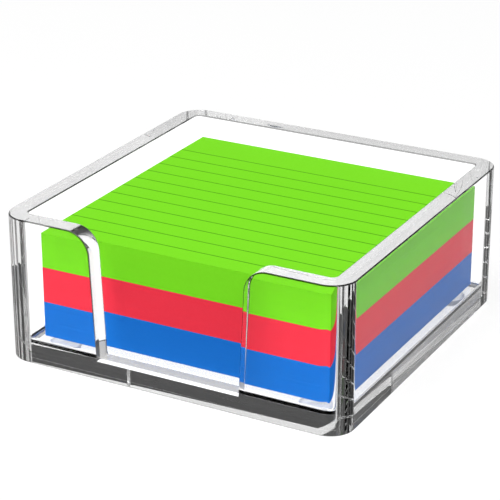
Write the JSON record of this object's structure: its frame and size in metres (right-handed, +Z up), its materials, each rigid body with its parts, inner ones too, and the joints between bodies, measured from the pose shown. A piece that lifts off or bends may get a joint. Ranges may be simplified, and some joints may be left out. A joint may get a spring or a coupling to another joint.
{
  "type": "sticky note dispenser",
  "caption": "Clear square desk tray on small round feet that holds a stack of coloured sticky note pads, with a finger notch in its front wall.",
  "frame": {"origin": "centre of the tray's footprint, in the plane of the four feet's resting ends", "axes": "+Z up out of the tray, the finger notch in the front wall faces -Y, +X runs along the front wall to the right as seen from the front"},
  "size_m": [0.0914, 0.0914, 0.0392],
  "materials": {
    "clear_acrylic": "polished, clear",
    "clear_rubber": "soft, clear",
    "green_paper": "matt coloured paper, ruled on top",
    "red_paper": "matt coloured paper",
    "blue_paper": "matt coloured paper"
  },
  "bodies": {
    "tray": {"tray": "clear_acrylic", "foot_front_left": "clear_rubber", "foot_front_right": "clear_rubber", "foot_back_left": "clear_rubber", "foot_back_right": "clear_rubber"},
    "blue_pad": {"blue_pad_backing": "blue_paper", "blue_pad_notes": "blue_paper"},
    "red_pad": {"red_pad_backing": "red_paper", "red_pad_notes": "red_paper"},
    "green_pad": {"green_pad_backing": "green_paper", "green_pad_notes": "green_paper"},
    "top_note": {"green_top_note": "green_paper"}
  },
  "joints": [
    {"name": "blue_pad_lift", "type": "slide", "parent": "tray", "child": "blue_pad", "axis": [0, 0, 1], "range_m": [0, 0.036]},
    {"name": "red_pad_lift", "type": "slide", "parent": "blue_pad", "child": "red_pad", "axis": [0, 0, 1], "range_m": [0, 0.036]},
    {"name": "green_pad_lift", "type": "slide", "parent": "red_pad", "child": "green_pad", "axis": [0, 0, 1], "range_m": [0, 0.036]},
    {"name": "top_note_peel", "type": "hinge", "parent": "green_pad", "child": "top_note", "pos_m": [0, 0.039, 0.0338], "axis": [-1, 0, 0], "range_deg": [0, 90]}
  ]
}
